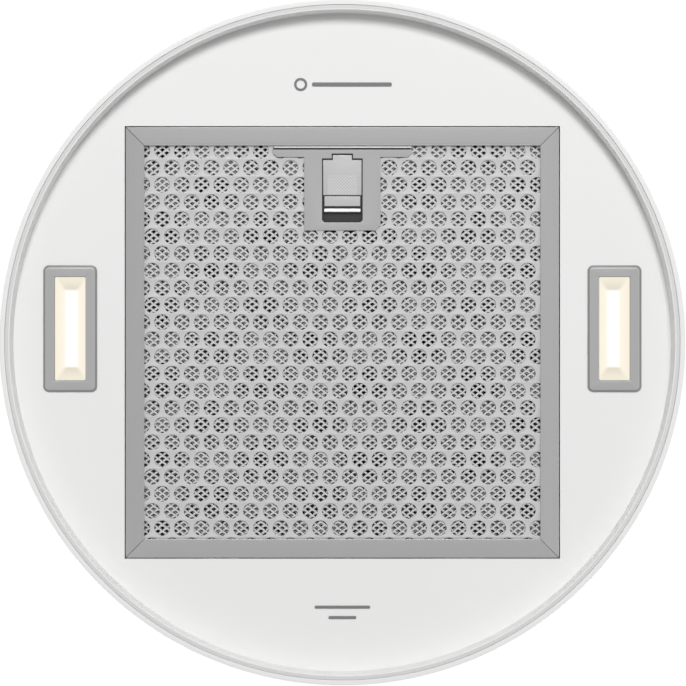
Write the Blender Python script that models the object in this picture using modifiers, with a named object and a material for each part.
"""Ceiling-hung round island range hood, built from separate named pieces.

Run it with blender --background --python part.py, or from the text editor. Metres, +Z up.
The origin is the centre of the ceiling plate's top face and the hood hangs down from it.
The front, with the touch strip and the filter's latch, is -Y. Heights given to level() are
measured up from the casing's lower rim.
"""
from math import acos, asin, cos, degrees, pi, radians, sin

import bmesh
import bpy
from mathutils import Matrix, Vector

# Driving dimensions
TOTAL_HEIGHT = 0.900
CASING_D = 0.390
CASING_HEIGHT = 0.560
CASING_WALL = 0.0012
UPPER_TUBE_D = 0.385
UPPER_TUBE_WALL = 0.0010
UPPER_TUBE_LENGTH = 0.500
DUCT_D = 0.150
FILTER_WIDTH = 0.250
FILTER_DEPTH = 0.248
FILTER_BAR = 0.0107
LAMP_WIDTH = 0.031
LAMP_LENGTH = 0.073
LAMP_X = 0.1567
LAMP_Y = -0.0079
GAP = 0.0003

# Rim and base pan, heights above the rim
RIM_LIP = 0.0028
PAN_FLANGE_UNDER = 0.0015
PAN_UNDER = 0.0130
PAN_SHEET = 0.0012
PAN_WALL_R = 0.1894
FILTER_CLEARANCE = 0.0009

# Grease filter, heights above the rim
FILTER_UNDER = 0.0125
FILTER_TOP = 0.0225
FRAME_SHEET = 0.0007
FRAME_WEB = 0.0009
LATCH_PLATE_UNDER = 0.0135
LATCH_PLATE_SHEET = 0.0006
FACE_SHEET_UNDER = 0.0144
MESH_UNDER = 0.0153
BACK_SHEET_UNDER = 0.0209
THIN_SHEET = 0.0006
LATCH_NOTCH = 0.032
LATCH_NOTCH_END = -0.0662

# Air box, heights above the rim
AIR_BOX_WIDE = 0.262
AIR_BOX_NARROW = 0.236
AIR_BOX_STEP = 0.060
AIR_BOX_TOP = 0.369
AIR_BOX_MOUTH = 0.160
SHEET = 0.0010

# Blower
SCROLL_R_MAX = 0.108
SCROLL_R_MIN = 0.080
SCROLL_CUT_OFF = 300
SCROLL_HALF_WIDTH = 0.075
SCROLL_WALL = 0.0016
ROTOR_Y = 0.014
ROTOR_HEIGHT = 0.180
SCROLL_MOUTH = 0.300
INLET_R = 0.060
WHEEL_R = 0.072
WHEEL_INNER_R = 0.066
WHEEL_HALF_LENGTH = 0.067
WHEEL_BLADES = 16
MOTOR_R = 0.040
SHAFT_R = 0.004
ADAPTOR_TOP = 0.380
COLLAR_TOP = 0.440
FLAP_HEIGHT = 0.398

# Telescopic frame
UPRIGHT_CORNER = 0.132
UPRIGHT_LEG = 0.025
UPRIGHT_SHEET = 0.0015
UPPER_UPRIGHT_END = -0.450
LOWER_UPRIGHT_TOP = 0.620
BOLT_HEIGHT = 0.600
BOLT_R = 0.0029
SLOT_TOP = -0.140
SLOT_END = -0.430

# Ceiling plate
CEILING_PLATE_R = 0.190
CEILING_SHEET = 0.003
DUCT_HOLE_R = 0.080

FINE_STEPS = 72
STEPS = 40
SMALL_STEPS = 12
SIDES = {"left": -1, "right": 1}
ENDS = {"front": -1, "rear": 1}

WHITE_PAINT = ((0.86, 0.86, 0.85), 0.35, 0.0)
ALUMINIUM = ((0.62, 0.62, 0.62), 0.38, 1.0)
BRIGHT_STEEL = ((0.66, 0.66, 0.65), 0.25, 1.0)
ZINC_STEEL = ((0.55, 0.57, 0.58), 0.45, 1.0)
BLACK_PLASTIC = ((0.03, 0.03, 0.03), 0.5, 0.0)
GREY_PLASTIC = ((0.45, 0.46, 0.47), 0.5, 0.0)
DARK_GLASS = ((0.02, 0.02, 0.025), 0.08, 0.0)
LAMP_GLASS = ((1.0, 0.96, 0.88), 0.3, 0.0)
CIRCUIT_GREEN = ((0.04, 0.20, 0.10), 0.5, 0.0)


def level(height):
    """World height of a place given up from the casing's rim."""
    return height - TOTAL_HEIGHT


# Scene, collections and the empties on the joints' axes

def new_collection(name):
    made = bpy.data.collections.new(name)
    bpy.context.scene.collection.children.link(made)
    return made


def joint_empty(name, parent, at):
    """An empty on a joint's axis, which its body's pieces are parented to."""
    empty = bpy.data.objects.new(name, None)
    empty.empty_display_size = 0.03
    HOOD.objects.link(empty)
    if parent:
        hang(empty, parent)
    empty.matrix_world = Matrix.Translation(at)
    bpy.context.view_layer.update()
    return empty


def hang(obj, parent):
    """Parents an object and keeps its world place."""
    obj.parent = parent
    obj.matrix_parent_inverse = parent.matrix_world.inverted()


# Makers of meshes and pieces

def finish(name, look):
    colour, roughness, metallic = look
    material = bpy.data.materials.new(name)
    material.use_nodes = True
    shader = material.node_tree.nodes["Principled BSDF"]
    shader.inputs["Base Color"].default_value = (*colour, 1)
    shader.inputs["Roughness"].default_value = roughness
    shader.inputs["Metallic"].default_value = metallic
    return material


def piece(name, mesh, at, look, body):
    """A named part at a world place, with its own material, hung on its body's empty."""
    made = bpy.data.objects.new(name, mesh)
    made.location = at
    mesh.materials.append(finish(name, look))
    HOOD.objects.link(made)
    hang(made, body)
    return made


def cutter(name, mesh, at, rotation=(0, 0, 0)):
    made = bpy.data.objects.new(name, mesh)
    made.location = at
    made.rotation_euler = rotation
    made.hide_render = True
    made.display_type = "WIRE"
    CUTTERS.objects.link(made)
    return made


def combine(target, tool, operation="DIFFERENCE"):
    modifier = target.modifiers.new(tool.name, "BOOLEAN")
    modifier.operation = operation
    modifier.object = tool
    modifier.solver = "EXACT"


def box_mesh(name, size):
    mesh = bpy.data.meshes.new(name)
    shape = bmesh.new()
    bmesh.ops.create_cube(shape, size=1, matrix=Matrix.Diagonal((*size, 1)))
    shape.to_mesh(mesh)
    shape.free()
    return mesh


def middle_and_size(low, high):
    low = Vector(low)
    high = Vector(high)
    return (low + high) / 2, high - low


def box(name, low, high, look, body):
    at, size = middle_and_size(low, high)
    return piece(name, box_mesh(name, size), at, look, body)


def cut_box(target, name, low, high):
    at, size = middle_and_size(low, high)
    combine(target, cutter(name, box_mesh(name, size), at))


def cut_hole(target, name, at, radius, depth, rotation=(0, 0, 0), steps=SMALL_STEPS):
    mesh = bpy.data.meshes.new(name)
    shape = bmesh.new()
    bmesh.ops.create_cone(
        shape, cap_ends=True, segments=steps, radius1=radius, radius2=radius, depth=depth
    )
    shape.to_mesh(mesh)
    shape.free()
    combine(target, cutter(name, mesh, at, rotation))


def open_box(name, low, high, open_side, wall, look, body):
    """A five-sided box: the face on open_side is missing, and the sheet grows inwards."""
    at, size = middle_and_size(low, high)
    mesh = bpy.data.meshes.new(name)
    shape = bmesh.new()
    bmesh.ops.create_cube(shape, size=1, matrix=Matrix.Diagonal((*size, 1)))
    shape.normal_update()
    missing = [face for face in shape.faces if face.normal.dot(Vector(open_side)) > 0.9]
    bmesh.ops.delete(shape, geom=missing, context="FACES")
    shape.to_mesh(mesh)
    shape.free()
    made = piece(name, mesh, at, look, body)
    thicken(made, wall)
    return made


def thicken(target, wall):
    """Gives an open surface its sheet thickness, on the inner side."""
    modifier = target.modifiers.new("Sheet", "SOLIDIFY")
    modifier.thickness = wall
    modifier.offset = -1
    modifier.use_even_offset = True


def turned(name, profile, at, look, body, steps=STEPS, rotation=(0, 0, 0)):
    """Turns (radius, height) points about local Z. A profile that starts off the axis is a ring."""
    count = len(profile)
    edges = [(i, i + 1) for i in range(count - 1)]
    if profile[0][0] > 0:
        edges.append((count - 1, 0))
    mesh = bpy.data.meshes.new(name)
    mesh.from_pydata([(radius, 0, height) for radius, height in profile], edges, [])
    made = piece(name, mesh, at, look, body)
    made.rotation_euler = rotation
    screw = made.modifiers.new("Turn", "SCREW")
    screw.steps = steps
    screw.render_steps = steps
    screw.use_merge_vertices = True
    screw.merge_threshold = 0.00001
    screw.use_smooth_shade = True
    return made


def ring_profile(outer, inner, top, bottom):
    return [(outer, top), (outer, bottom), (inner, bottom), (inner, top)]


def rod_profile(radius, top, bottom):
    return [(0, top), (radius, top), (radius, bottom), (0, bottom)]


def outline_mesh(name, loops, thickness):
    """Fills flat closed loops, the holes included, and makes them thickness deep about z = 0."""
    curve = bpy.data.curves.new(name, "CURVE")
    curve.dimensions = "2D"
    curve.fill_mode = "BOTH"
    curve.extrude = thickness / 2
    for loop in loops:
        spline = curve.splines.new("POLY")
        spline.points.add(len(loop) - 1)
        for point, (x, y) in zip(spline.points, loop):
            point.co = (x, y, 0, 1)
        spline.use_cyclic_u = True
    return mesh_of_curve(name, curve)


def mesh_of_curve(name, curve):
    """The curve's mesh with its caps welded on. The curve itself is removed."""
    shape = bpy.data.objects.new(name, curve)
    HOOD.objects.link(shape)
    seen = shape.evaluated_get(bpy.context.evaluated_depsgraph_get())
    mesh = bpy.data.meshes.new_from_object(seen)
    bpy.data.objects.remove(shape)
    bpy.data.curves.remove(curve)
    welded = bmesh.new()
    welded.from_mesh(mesh)
    bmesh.ops.remove_doubles(welded, verts=welded.verts, dist=0.00001)
    bmesh.ops.recalc_face_normals(welded, faces=welded.faces)
    welded.to_mesh(mesh)
    welded.free()
    mesh.name = name
    return mesh


def plate(name, loops, low, high, look, body):
    """A flat piece between two world heights."""
    mesh = outline_mesh(name, loops, high - low)
    return piece(name, mesh, (0, 0, (low + high) / 2), look, body)


def arc(radius, start, end, count, centre=(0, 0)):
    """Points along an arc, from start to end degrees, both included."""
    steps = [radians(start + (end - start) * i / count) for i in range(count + 1)]
    return [(centre[0] + radius * cos(a), centre[1] + radius * sin(a)) for a in steps]


def circle(radius, count=STEPS, centre=(0, 0)):
    return arc(radius, 0, 360, count, centre)[:-1]


def rectangle(x0, y0, x1, y1):
    return [(x0, y0), (x1, y0), (x1, y1), (x0, y1)]


def rounded_rectangle(centre, width, length, radius, count=5):
    half_x = width / 2 - radius
    half_y = length / 2 - radius
    loop = []
    for turn, (side_x, side_y) in enumerate([(1, 1), (-1, 1), (-1, -1), (1, -1)]):
        corner = (centre[0] + side_x * half_x, centre[1] + side_y * half_y)
        loop += arc(radius, 90 * turn, 90 * turn + 90, count, corner)
    return loop


# Ceiling side

def ceiling_plate():
    holes = [circle(DUCT_HOLE_R)]
    for x in (-0.150, 0.150):
        for y in (-0.055, 0.055):
            holes.append(circle(0.004, SMALL_STEPS, (x, y)))
    holes.append(circle(0.010, SMALL_STEPS, (0.072, 0.150)))
    disc = [circle(CEILING_PLATE_R, FINE_STEPS)] + holes
    made = plate("ceiling_plate", disc, -CEILING_SHEET, 0, ZINC_STEEL, CEILING)
    for side, sign in SIDES.items():
        low = (0.1865 * sign, -0.010, -0.028)
        high = (0.1885 * sign, 0.010, -CEILING_SHEET / 2)
        at, size = middle_and_size(low, high)
        size.x = abs(size.x)
        tab = cutter(f"plate_tab_{side}", box_mesh("plate_tab", size), at)
        combine(made, tab, "UNION")
        cut_hole(made, f"tab_hole_{side}", (0.1875 * sign, 0, -0.018), 0.0021, 0.010, (0, pi / 2, 0))


def terminal_box():
    made = open_box(
        "terminal_box", (-0.040, 0.122, -0.048), (0.040, 0.170, -CEILING_SHEET - GAP),
        (0, 0, 1), 0.002, GREY_PLASTIC, CEILING,
    )
    at = (0.040, 0.146, -0.026)
    cut_hole(made, "terminal_box_bore", at, 0.0045, 0.010, (0, pi / 2, 0))
    gland = [(0.0045, 0), (0.0085, 0), (0.0085, 0.009), (0.0065, 0.015), (0.0045, 0.015)]
    turned(
        "cable_gland", gland[::-1], (0.040 + GAP, 0.146, -0.026), BLACK_PLASTIC, CEILING,
        SMALL_STEPS, (0, pi / 2, 0),
    )


def angle_loop(corner, sign_x, sign_y):
    """An L of equal legs whose outer corner is at (corner, corner) in its quarter."""
    inner = corner - UPRIGHT_SHEET
    end = corner - UPRIGHT_LEG
    loop = [(corner, corner), (end, corner), (end, inner), (inner, inner), (inner, end), (corner, end)]
    return [(x * sign_x, y * sign_y) for x, y in loop]


def uprights():
    """Upper angles fixed to the ceiling plate, lower angles nested inside, and their bolts."""
    lower_corner = UPRIGHT_CORNER - UPRIGHT_SHEET - GAP
    bolt_y = UPRIGHT_CORNER - 0.017
    for end, sign_y in ENDS.items():
        for side, sign_x in SIDES.items():
            place = f"{end}_{side}"
            loop = angle_loop(UPRIGHT_CORNER, sign_x, sign_y)
            upper = plate(
                f"upper_upright_{place}", [loop], UPPER_UPRIGHT_END, -CEILING_SHEET - GAP,
                ZINC_STEEL, CEILING,
            )
            wall_x = UPRIGHT_CORNER * sign_x
            slot_y = bolt_y * sign_y
            cut_box(
                upper, f"slot_{place}",
                (wall_x - 0.004, slot_y - 0.0033, SLOT_END),
                (wall_x + 0.004, slot_y + 0.0033, SLOT_TOP),
            )
            loop = angle_loop(lower_corner, sign_x, sign_y)
            lower = plate(
                f"lower_upright_{place}", [loop], level(AIR_BOX_STEP + GAP), level(LOWER_UPRIGHT_TOP),
                ZINC_STEEL, LIFT,
            )
            bolt_at = (wall_x, slot_y, level(BOLT_HEIGHT))
            cut_hole(lower, f"bolt_hole_{place}", bolt_at, 0.0033, 0.008, (0, pi / 2, 0))
            bolt = [
                (0, 0.0040), (0.0045, 0.0040), (0.0055, 0.0030), (0.0055, GAP),
                (BOLT_R, GAP), (BOLT_R, -0.010), (0, -0.010),
            ]
            turned(
                f"height_bolt_{place}", bolt, bolt_at, BRIGHT_STEEL, LIFT, 12,
                (0, sign_x * pi / 2, 0),
            )


def upper_frame_ring():
    inner = UPRIGHT_CORNER + GAP
    outer = inner + UPRIGHT_SHEET
    loops = [rectangle(-outer, -outer, outer, outer), rectangle(-inner, -inner, inner, inner)]
    plate("upper_frame_ring", loops, UPPER_UPRIGHT_END, UPPER_UPRIGHT_END + 0.018, ZINC_STEEL, CEILING)


def upper_tube():
    outer = UPPER_TUBE_D / 2
    profile = ring_profile(outer, outer - UPPER_TUBE_WALL, 0, -UPPER_TUBE_LENGTH)
    made = turned("upper_tube", profile, (0, 0, 0), WHITE_PAINT, CEILING, FINE_STEPS)
    for side, sign in SIDES.items():
        cut_hole(made, f"tube_hole_{side}", (outer * sign, 0, -0.018), 0.0023, 0.010, (0, pi / 2, 0))
        screw = [(0, 0.0018), (0.0030, 0.0018), (0.0042, GAP), (0.0018, GAP), (0.0018, -0.010), (0, -0.010)]
        turned(
            f"tube_screw_{side}", screw, (outer * sign, 0, -0.018), BRIGHT_STEEL, CEILING, 12,
            (0, sign * pi / 2, 0),
        )


# Casing and base pan

def lower_casing():
    outer = CASING_D / 2
    inner = outer - CASING_WALL
    lip = outer - RIM_LIP
    profile = [
        (outer, CASING_HEIGHT), (outer, 0), (lip, 0), (lip, CASING_WALL),
        (inner, CASING_WALL), (inner, CASING_HEIGHT),
    ]
    made = turned("lower_casing", profile, (0, 0, level(0)), WHITE_PAINT, LIFT, FINE_STEPS)
    cut_box(made, "touch_window", (-0.042, -0.200, level(0.074)), (0.042, -0.180, level(0.094)))


def touch_glass():
    outer = CASING_D / 2 + GAP
    loop = arc(outer, -105, -75, 16) + arc(outer + 0.0020, -75, -105, 16)
    plate("touch_glass", [loop], level(0.069), level(0.099), DARK_GLASS, LIFT)


def base_pan():
    flange = CASING_D / 2 - CASING_WALL - GAP
    wall = PAN_WALL_R + PAN_SHEET
    top = PAN_UNDER + PAN_SHEET
    flange_top = PAN_FLANGE_UNDER + PAN_SHEET
    profile = [
        (0, top), (wall, top), (wall, flange_top), (flange, flange_top),
        (flange, PAN_FLANGE_UNDER), (PAN_WALL_R, PAN_FLANGE_UNDER), (PAN_WALL_R, PAN_UNDER),
        (0, PAN_UNDER),
    ]
    made = turned("base_pan", profile, (0, 0, level(0)), WHITE_PAINT, LIFT, FINE_STEPS)
    half_x = FILTER_WIDTH / 2 + FILTER_CLEARANCE
    half_y = FILTER_DEPTH / 2 + FILTER_CLEARANCE
    cut_box(made, "filter_opening", (-half_x, -half_y, level(0)), (half_x, half_y, level(0.03)))
    for side, sign in SIDES.items():
        width = LAMP_WIDTH - 0.0034
        length = LAMP_LENGTH - 0.0034
        hole = outline_mesh("lamp_opening", [rounded_rectangle((0, 0), width, length, 0.0008, 2)], 0.03)
        at = (LAMP_X * sign, LAMP_Y, level(PAN_UNDER))
        combine(made, cutter(f"lamp_opening_{side}", hole, at))


def lamps():
    """Each lamp: a bezel under the pan, a lens flush in it, a housing above and its LED board."""
    for side, sign in SIDES.items():
        x = LAMP_X * sign
        bezel = [
            rounded_rectangle((x, LAMP_Y), LAMP_WIDTH, LAMP_LENGTH, 0.0034),
            rounded_rectangle((x, LAMP_Y), 0.0179, 0.0600, 0.0008, 2),
        ]
        plate(
            f"lamp_bezel_{side}", bezel, level(PAN_UNDER - 0.0011), level(PAN_UNDER - GAP),
            BRIGHT_STEEL, LIFT,
        )
        lens = [rounded_rectangle((x, LAMP_Y), 0.0173, 0.0594, 0.0006, 2)]
        lens_low = level(PAN_UNDER - 0.0009)
        plate(f"lamp_lens_{side}", lens, lens_low, lens_low + 0.0019, LAMP_GLASS, LIFT)
        open_box(
            f"lamp_housing_{side}",
            (x - 0.0134, LAMP_Y - 0.0344, level(PAN_UNDER + 0.0002)),
            (x + 0.0134, LAMP_Y + 0.0344, level(0.038)),
            (0, 0, -1), SHEET, ZINC_STEEL, LIFT,
        )
        box(
            f"led_board_{side}",
            (x - 0.011, LAMP_Y - 0.032, level(0.0350)), (x + 0.011, LAMP_Y + 0.032, level(0.0366)),
            CIRCUIT_GREEN, LIFT,
        )


# Air box, blower and duct collar

def air_box():
    """A sheet box: a flange on the pan, a wide foot over the filter and a narrow body with a mouth."""
    foot = PAN_UNDER + PAN_SHEET + GAP
    wide = AIR_BOX_WIDE / 2
    narrow = AIR_BOX_NARROW / 2
    mouth = AIR_BOX_MOUTH / 2
    flange = wide + 0.005
    made = box("air_box", *square_block(flange, foot, foot + SHEET), ZINC_STEEL, LIFT)
    for name, half, low, high in (
        ("air_box_foot", wide, foot, AIR_BOX_STEP),
        ("air_box_body", narrow, AIR_BOX_STEP - SHEET, AIR_BOX_TOP),
    ):
        at, size = middle_and_size(*square_block(half, low, high))
        combine(made, cutter(name, box_mesh(name, size), at), "UNION")
    cut_box(made, "foot_room", *square_block(wide - SHEET, foot - SHEET, AIR_BOX_STEP - SHEET))
    cut_box(made, "body_room", *square_block(narrow - SHEET, AIR_BOX_STEP - 0.010, AIR_BOX_TOP - SHEET))
    cut_box(made, "air_box_mouth", *square_block(mouth, AIR_BOX_TOP - 0.010, AIR_BOX_TOP + 0.010))


def square_block(half, low, high):
    """Lowest and highest corners of a square block centred on the hood's axis."""
    return (-half, -half, level(low)), (half, half, level(high))


def scroll_loop(inset, mouth):
    """The snail's side view as (y, height) points about the rotor, moved in by inset."""
    growth = SCROLL_R_MAX - SCROLL_R_MIN
    cut_off_y = -SCROLL_R_MIN * cos(radians(SCROLL_CUT_OFF)) - inset
    end = 360 - degrees(acos(-cut_off_y / (SCROLL_R_MIN - inset)))
    points = 18
    loop = [(-SCROLL_R_MAX + inset, mouth)]
    for i in range(points + 1):
        turn = end * i / points
        radius = SCROLL_R_MAX - growth * min(turn / SCROLL_CUT_OFF, 1) - inset
        loop.append((-radius * cos(radians(turn)), -radius * sin(radians(turn))))
    loop.append((cut_off_y, mouth))
    return loop


def scroll_halves():
    """Two shells that meet on the middle plane: side plate, wrap and half of the mouth."""
    mouth = SCROLL_MOUTH - ROTOR_HEIGHT
    at_y = ROTOR_Y
    at_z = level(ROTOR_HEIGHT)
    stand = (pi / 2, 0, pi / 2)
    for side, sign in SIDES.items():
        depth = SCROLL_HALF_WIDTH - GAP / 2
        shell = outline_mesh(f"scroll_{side}", [scroll_loop(0, mouth)], depth)
        made = piece(f"scroll_{side}", shell, (sign * (depth + GAP) / 2, at_y, at_z), BLACK_PLASTIC, LIFT)
        made.rotation_euler = stand
        room = SCROLL_HALF_WIDTH - SCROLL_WALL
        inside = outline_mesh("scroll_room", [scroll_loop(SCROLL_WALL, mouth + 0.02)], room + 0.01)
        combine(made, cutter(f"scroll_room_{side}", inside, (sign * (room - 0.01) / 2, at_y, at_z), stand))
        cut_hole(
            made, f"scroll_inlet_{side}", (sign * SCROLL_HALF_WIDTH, at_y, at_z), INLET_R, 0.02,
            (0, pi / 2, 0), 32,
        )


def blower_rails():
    """Two angle rails across the air box, under the snail."""
    half = AIR_BOX_NARROW / 2 - SHEET - GAP
    for end, y in (("front", -0.030), ("rear", 0.045)):
        loop = [(0, 0), (0.015, 0), (0.015, 0.0015), (0.0015, 0.0015), (0.0015, 0.012), (0, 0.012)]
        mesh = outline_mesh(f"blower_rail_{end}", [loop], 2 * half)
        rail = piece(f"blower_rail_{end}", mesh, (0, y, level(0.064)), ZINC_STEEL, LIFT)
        rail.rotation_euler = (pi / 2, 0, pi / 2)


def motor():
    sideways = (0, pi / 2, 0)
    at = (0, ROTOR_Y, level(ROTOR_HEIGHT))
    back = -SCROLL_HALF_WIDTH
    front = -0.012
    bore = SHAFT_R + GAP
    bore_floor = front - 0.022
    profile = [
        (0, bore_floor), (bore, bore_floor), (bore, front), (0.012, front), (0.012, front - 0.004),
        (MOTOR_R - 0.006, front - 0.004), (MOTOR_R, front - 0.010), (MOTOR_R, back), (0, back),
    ]
    turned("motor", profile, at, GREY_PLASTIC, LIFT, 24, sideways)
    arms = []
    for arm in range(3):
        start = 120 * arm
        spread = 8
        arms += arc(0.034, start + spread, start + 120 - spread, 8)
        root = radians(start + 120)
        across = Vector((-sin(root), cos(root))) * 0.0048
        tip = Vector((cos(root), sin(root))) * 0.068
        arms += [tuple(tip - across), tuple(tip + across)]
    mesh = outline_mesh("motor_bracket", [arms], 0.0016)
    bracket = piece("motor_bracket", mesh, (back - GAP - 0.0008, at[1], at[2]), ZINC_STEEL, LIFT)
    bracket.rotation_euler = (pi / 2, 0, pi / 2)


def rotor():
    """Shaft, and a double-inlet wheel: a middle disc on a hub between two rows of blades."""
    sideways = (0, pi / 2, 0)
    at = (0, ROTOR_Y, level(ROTOR_HEIGHT))
    turned("motor_shaft", rod_profile(SHAFT_R, 0.014, -0.030), at, BRIGHT_STEEL, SPIN, SMALL_STEPS, sideways)
    bore = SHAFT_R + GAP
    profile = [
        (WHEEL_R, WHEEL_HALF_LENGTH), (WHEEL_R, -WHEEL_HALF_LENGTH), (WHEEL_INNER_R, -WHEEL_HALF_LENGTH),
        (WHEEL_INNER_R, -0.001), (0.012, -0.001), (0.012, -0.008), (bore, -0.008), (bore, 0.008),
        (0.012, 0.008), (0.012, 0.001), (WHEEL_INNER_R, 0.001), (WHEEL_INNER_R, WHEEL_HALF_LENGTH),
    ]
    wheel = turned("impeller", profile, at, ZINC_STEEL, SPIN, 2 * WHEEL_BLADES, sideways)
    slots = bpy.data.meshes.new("blade_slots")
    shape = bmesh.new()
    length = WHEEL_HALF_LENGTH - 0.010
    for row in (-1, 1):
        for blade in range(WHEEL_BLADES):
            turn = Matrix.Rotation(2 * pi * (blade + 0.5) / WHEEL_BLADES, 4, "Z")
            where = turn @ Matrix.Translation((WHEEL_R, 0, row * (0.005 + length / 2)))
            bmesh.ops.create_cube(shape, size=1, matrix=where @ Matrix.Diagonal((0.030, 0.0125, length, 1)))
    shape.to_mesh(slots)
    shape.free()
    combine(wheel, cutter("blade_slots", slots, at, sideways))


def outlet_adaptor():
    """A loft from the snail's oblong mouth to the round collar, drawn at its outer side."""
    mouth_half = SCROLL_HALF_WIDTH
    front = ROTOR_Y - SCROLL_R_MAX
    rear = ROTOR_Y - SCROLL_R_MIN * cos(radians(SCROLL_CUT_OFF))
    corners = [(mouth_half, rear), (-mouth_half, rear), (-mouth_half, front), (mouth_half, front)]
    per_side = 8
    straight = 0.004
    start = SCROLL_MOUTH + GAP
    loft = ADAPTOR_TOP - start - 2 * straight
    levels = [(start, 0)]
    levels += [(start + straight + loft * share, share) for share in (0, 0.33, 0.67, 1)]
    levels += [(ADAPTOR_TOP, 1)]
    bottom = []
    for k in range(4):
        here = Vector(corners[k])
        there = Vector(corners[(k + 1) % 4])
        bottom += [here.lerp(there, i / per_side) for i in range(per_side)]
    top = [Vector(point) for point in arc(DUCT_D / 2, 45, 405, 4 * per_side)[:-1]]
    mesh = bpy.data.meshes.new("outlet_adaptor")
    shape = bmesh.new()
    rings = []
    for height, share in levels:
        ease = share * share * (3 - 2 * share)
        rings.append([shape.verts.new((*low.lerp(high, ease), height)) for low, high in zip(bottom, top)])
    for lower, upper in zip(rings, rings[1:]):
        for i in range(len(lower)):
            j = (i + 1) % len(lower)
            shape.faces.new((lower[i], lower[j], upper[j], upper[i]))
    shape.to_mesh(mesh)
    shape.free()
    thicken(piece("outlet_adaptor", mesh, (0, 0, level(0)), BLACK_PLASTIC, LIFT), SHEET)


def duct_collar():
    outer = DUCT_D / 2
    inner = outer - 0.0012
    profile = ring_profile(outer, inner, COLLAR_TOP, ADAPTOR_TOP + GAP)
    collar = turned("duct_collar", profile, (0, 0, level(0)), BLACK_PLASTIC, LIFT)
    cut_hole(collar, "flap_pin_holes", (0, 0, level(FLAP_HEIGHT)), 0.0018, 0.16, (0, pi / 2, 0))
    turned(
        "flap_pin", rod_profile(0.0015, 0.0765, -0.0765), (0, 0, level(FLAP_HEIGHT)), BRIGHT_STEEL, LIFT,
        12, (0, pi / 2, 0),
    )
    for end, sign in ENDS.items():
        edge = 0.0022
        radius = inner - 0.0013
        reach = 90 - degrees(asin(edge / radius))
        loop = [(x, y * sign) for x, y in arc(radius, 90 - reach, 90 + reach, 24)]
        mesh = outline_mesh(f"flap_{end}", [loop], 0.0010)
        piece(f"flap_{end}", mesh, (0, 0, level(FLAP_HEIGHT)), GREY_PLASTIC, FLAPS[end])


# Electrical pieces

def electrics():
    wall = AIR_BOX_NARROW / 2 + GAP
    open_box(
        "control_box", (-0.060, wall, level(0.070)), (0.060, 0.160, level(0.150)),
        (0, 1, 0), 0.002, BLACK_PLASTIC, LIFT,
    )
    lid_low = (-0.060, 0.160 + GAP, level(0.070))
    box("control_box_lid", lid_low, (0.060, 0.1623, level(0.150)), BLACK_PLASTIC, LIFT)
    box(
        "led_driver", (-0.149, -0.030, level(AIR_BOX_STEP + GAP)), (-wall, 0.030, level(0.084)),
        GREY_PLASTIC, LIFT,
    )
    can = [
        (0, 0.072), (0.004, 0.072), (0.004, 0.068), (0.014, 0.068), (0.016, 0.066), (0.016, 0), (0, 0),
    ]
    turned("run_capacitor", can, (wall + 0.0165, 0, level(AIR_BOX_STEP + GAP)), GREY_PLASTIC, LIFT, 24)


# Grease filter and its latch

def frame_section():
    """The frame's channel as (inwards, height) points: a web and two lips that hold the sheets."""
    web = FRAME_WEB
    low = FILTER_UNDER
    high = FILTER_TOP
    return [
        (0, low), (FILTER_BAR, low), (FILTER_BAR, low + FRAME_SHEET), (web, low + FRAME_SHEET),
        (web, high - FRAME_SHEET), (FILTER_BAR, high - FRAME_SHEET), (FILTER_BAR, high), (0, high),
    ]


def mitred_bar(name, length, across, turn):
    """A channel bar with 45 degree ends, its web across from the middle, turned about Z."""
    mitre_gap = 0.00022
    shape = bmesh.new()
    start = [shape.verts.new((0, inwards - across, height)) for inwards, height in frame_section()]
    face = shape.faces.new(start)
    grown = bmesh.ops.extrude_face_region(shape, geom=[face])
    end = [v for v in grown["geom"] if isinstance(v, bmesh.types.BMVert)]
    for sign, verts in ((-1, start), (1, end)):
        for v in verts:
            v.co.x = sign * (length / 2 - (v.co.y + across) - mitre_gap)
    bmesh.ops.rotate(shape, verts=shape.verts, matrix=Matrix.Rotation(turn, 3, "Z"))
    bmesh.ops.recalc_face_normals(shape, faces=shape.faces)
    mesh = bpy.data.meshes.new(name)
    shape.to_mesh(mesh)
    shape.free()
    return piece(name, mesh, (0, 0, level(0)), ALUMINIUM, FILTER)


def filter_frame():
    half_x = FILTER_WIDTH / 2
    half_y = FILTER_DEPTH / 2
    front = mitred_bar("filter_frame_front", FILTER_WIDTH, half_y, 0)
    mitred_bar("filter_frame_right", FILTER_DEPTH, half_x, pi / 2)
    mitred_bar("filter_frame_rear", FILTER_WIDTH, half_y, pi)
    mitred_bar("filter_frame_left", FILTER_DEPTH, half_x, -pi / 2)
    cut_box(
        front, "tongue_slot",
        (-0.0068, -half_y - 0.002, level(FACE_SHEET_UNDER - 0.0003)),
        (0.0068, -half_y + 0.002, level(FACE_SHEET_UNDER + 0.0012)),
    )


def notched_loop(half_x, half_y):
    """A sheet's outline with a notch at the front for the latch."""
    notch = LATCH_NOTCH / 2
    return [
        (-half_x, -half_y), (-notch, -half_y), (-notch, LATCH_NOTCH_END), (notch, LATCH_NOTCH_END),
        (notch, -half_y), (half_x, -half_y), (half_x, half_y), (-half_x, half_y),
    ]


def filter_sheets():
    half_x = FILTER_WIDTH / 2 - FRAME_WEB - GAP
    half_y = FILTER_DEPTH / 2 - FRAME_WEB - GAP
    notched = [notched_loop(half_x, half_y)]
    plain = [rectangle(-half_x, -half_y, half_x, half_y)]
    plate(
        "filter_face_sheet", notched, level(FACE_SHEET_UNDER), level(FACE_SHEET_UNDER + THIN_SHEET),
        ALUMINIUM, FILTER,
    )
    plate("filter_mesh", notched, level(MESH_UNDER), level(BACK_SHEET_UNDER - GAP), ALUMINIUM, FILTER)
    plate(
        "filter_back_sheet", plain, level(BACK_SHEET_UNDER), level(BACK_SHEET_UNDER + THIN_SHEET),
        ALUMINIUM, FILTER,
    )


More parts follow.
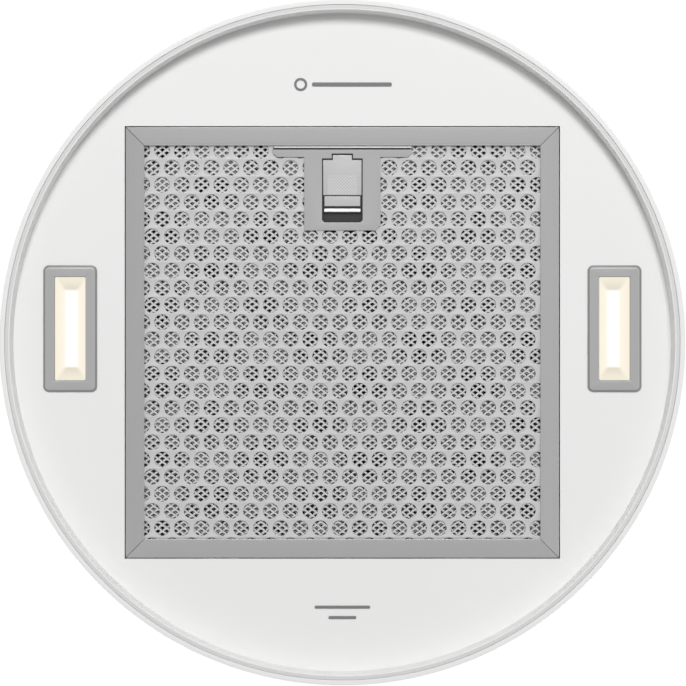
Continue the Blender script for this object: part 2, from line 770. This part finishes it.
def filter_hooks():
    """Two bent tabs on the rear bar that reach over the pan's edge."""
    start = FILTER_DEPTH / 2 + GAP
    floor = 0.0148
    loop = [
        (start, floor), (start + 0.005, floor), (start + 0.005, floor + 0.001),
        (start + 0.001, floor + 0.001), (start + 0.001, floor + 0.007), (start, floor + 0.007),
    ]
    for side, sign in SIDES.items():
        mesh = outline_mesh(f"filter_hook_{side}", [loop], 0.020)
        hook = piece(f"filter_hook_{side}", mesh, (0.070 * sign, 0, level(0)), ALUMINIUM, FILTER)
        hook.rotation_euler = (pi / 2, 0, pi / 2)


def latch_plate():
    wing = 0.0400
    half = 0.0220
    top = -0.1210
    wing_end = -0.1068
    end = -0.0645
    outline = [
        (-wing, top), (wing, top), (wing, -0.1090), (wing - 0.0022, wing_end), (half, wing_end),
        (half, end - 0.0030), (half - 0.0030, end), (-half, end), (-half, wing_end),
        (0.0022 - wing, wing_end), (-wing, -0.1090),
    ]
    opening = [
        (-0.0061, -0.1088), (0.0061, -0.1088), (0.0061, -0.1060), (0.0117, -0.1060),
        (0.0117, -0.0705), (0.0103, -0.0691), (-0.0103, -0.0691), (-0.0117, -0.0705),
        (-0.0117, -0.1060), (-0.0061, -0.1060),
    ]
    low = level(LATCH_PLATE_UNDER)
    plate("latch_plate", [outline, opening], low, low + LATCH_PLATE_SHEET, BRIGHT_STEEL, FILTER)


def latch_slide():
    """A pad that shows in the plate's opening, with a finger ridge, on a flange with a tongue."""
    pad_front = -0.1054
    pad_end = -0.0746
    pad_half = 0.0111
    flange_half = 0.0140
    tongue_half = 0.0059
    tongue_tip = -FILTER_DEPTH / 2 - 0.0006
    shoulder = pad_front - 0.0005
    root = shoulder - 0.0005
    floor = FACE_SHEET_UNDER
    loop = [
        (-tongue_half, tongue_tip), (tongue_half, tongue_tip), (tongue_half, root),
        (flange_half, shoulder), (flange_half, pad_end), (-flange_half, pad_end),
        (-flange_half, shoulder), (-tongue_half, root),
    ]
    made = plate("latch_slide", [loop], level(floor), level(floor + 0.0008), BRIGHT_STEEL, LATCH)
    raised = {
        "latch_pad": (
            (-pad_half, pad_front, level(0.0136)),
            (pad_half, pad_end - 0.0001, level(floor + 0.0002)),
        ),
        "latch_ridge": (
            (-pad_half + 0.0003, pad_end - 0.0022, level(0.0124)),
            (pad_half - 0.0003, pad_end - 0.0004, level(0.0138)),
        ),
        "spring_tab": ((-0.0030, -0.1044, level(floor + 0.0004)), (0.0030, -0.1034, level(0.0200))),
    }
    for name, (low, high) in raised.items():
        at, size = middle_and_size(low, high)
        combine(made, cutter(name, box_mesh(name, size), at), "UNION")


def latch_spring():
    start = -0.1031
    end = LATCH_NOTCH_END - GAP
    turns = 7
    per_turn = 7
    radius = 0.0017
    wire = 0.0003
    curve = bpy.data.curves.new("latch_spring", "CURVE")
    curve.dimensions = "3D"
    curve.bevel_depth = wire
    curve.bevel_resolution = 0
    curve.use_fill_caps = True
    spline = curve.splines.new("POLY")
    count = turns * per_turn
    spline.points.add(count)
    for i, point in enumerate(spline.points):
        angle = 2 * pi * i / per_turn
        along = start + wire + (end - start - 2 * wire) * i / count
        point.co = (radius * cos(angle), along, radius * sin(angle), 1)
    mesh = mesh_of_curve("latch_spring", curve)
    piece("latch_spring", mesh, (0, 0, level(0.0180)), BRIGHT_STEEL, LATCH)


def round_shading():
    """Smooth shading on every piece, kept sharp at its edges."""
    for obj in HOOD.objects:
        if obj.type == "MESH" and obj.data.polygons:
            obj.data.shade_smooth()
            obj.data.set_sharp_from_angle(angle=radians(30))


for old in list(bpy.data.objects):
    bpy.data.objects.remove(old)
HOOD = new_collection("island_range_hood")
CUTTERS = new_collection("cutters")
ROTOR_AT = (0, ROTOR_Y, level(ROTOR_HEIGHT))
CEILING = joint_empty("ceiling_mount", None, (0, 0, 0))
LIFT = joint_empty("height_axis", CEILING, (0, 0, level(0)))
SPIN = joint_empty("impeller_axis", LIFT, ROTOR_AT)
FLAPS = {end: joint_empty(f"flap_{end}_axis", LIFT, (0, 0, level(FLAP_HEIGHT))) for end in ENDS}
FILTER = joint_empty("filter_axis", LIFT, (0, FILTER_DEPTH / 2, level(FILTER_UNDER)))
LATCH = joint_empty("latch_axis", FILTER, (0, -0.090, level(FACE_SHEET_UNDER)))

ceiling_plate()
terminal_box()
uprights()
upper_frame_ring()
upper_tube()
lower_casing()
touch_glass()
base_pan()
lamps()
air_box()
scroll_halves()
blower_rails()
motor()
rotor()
outlet_adaptor()
duct_collar()
electrics()
filter_frame()
filter_sheets()
filter_hooks()
latch_plate()
latch_slide()
latch_spring()
round_shading()
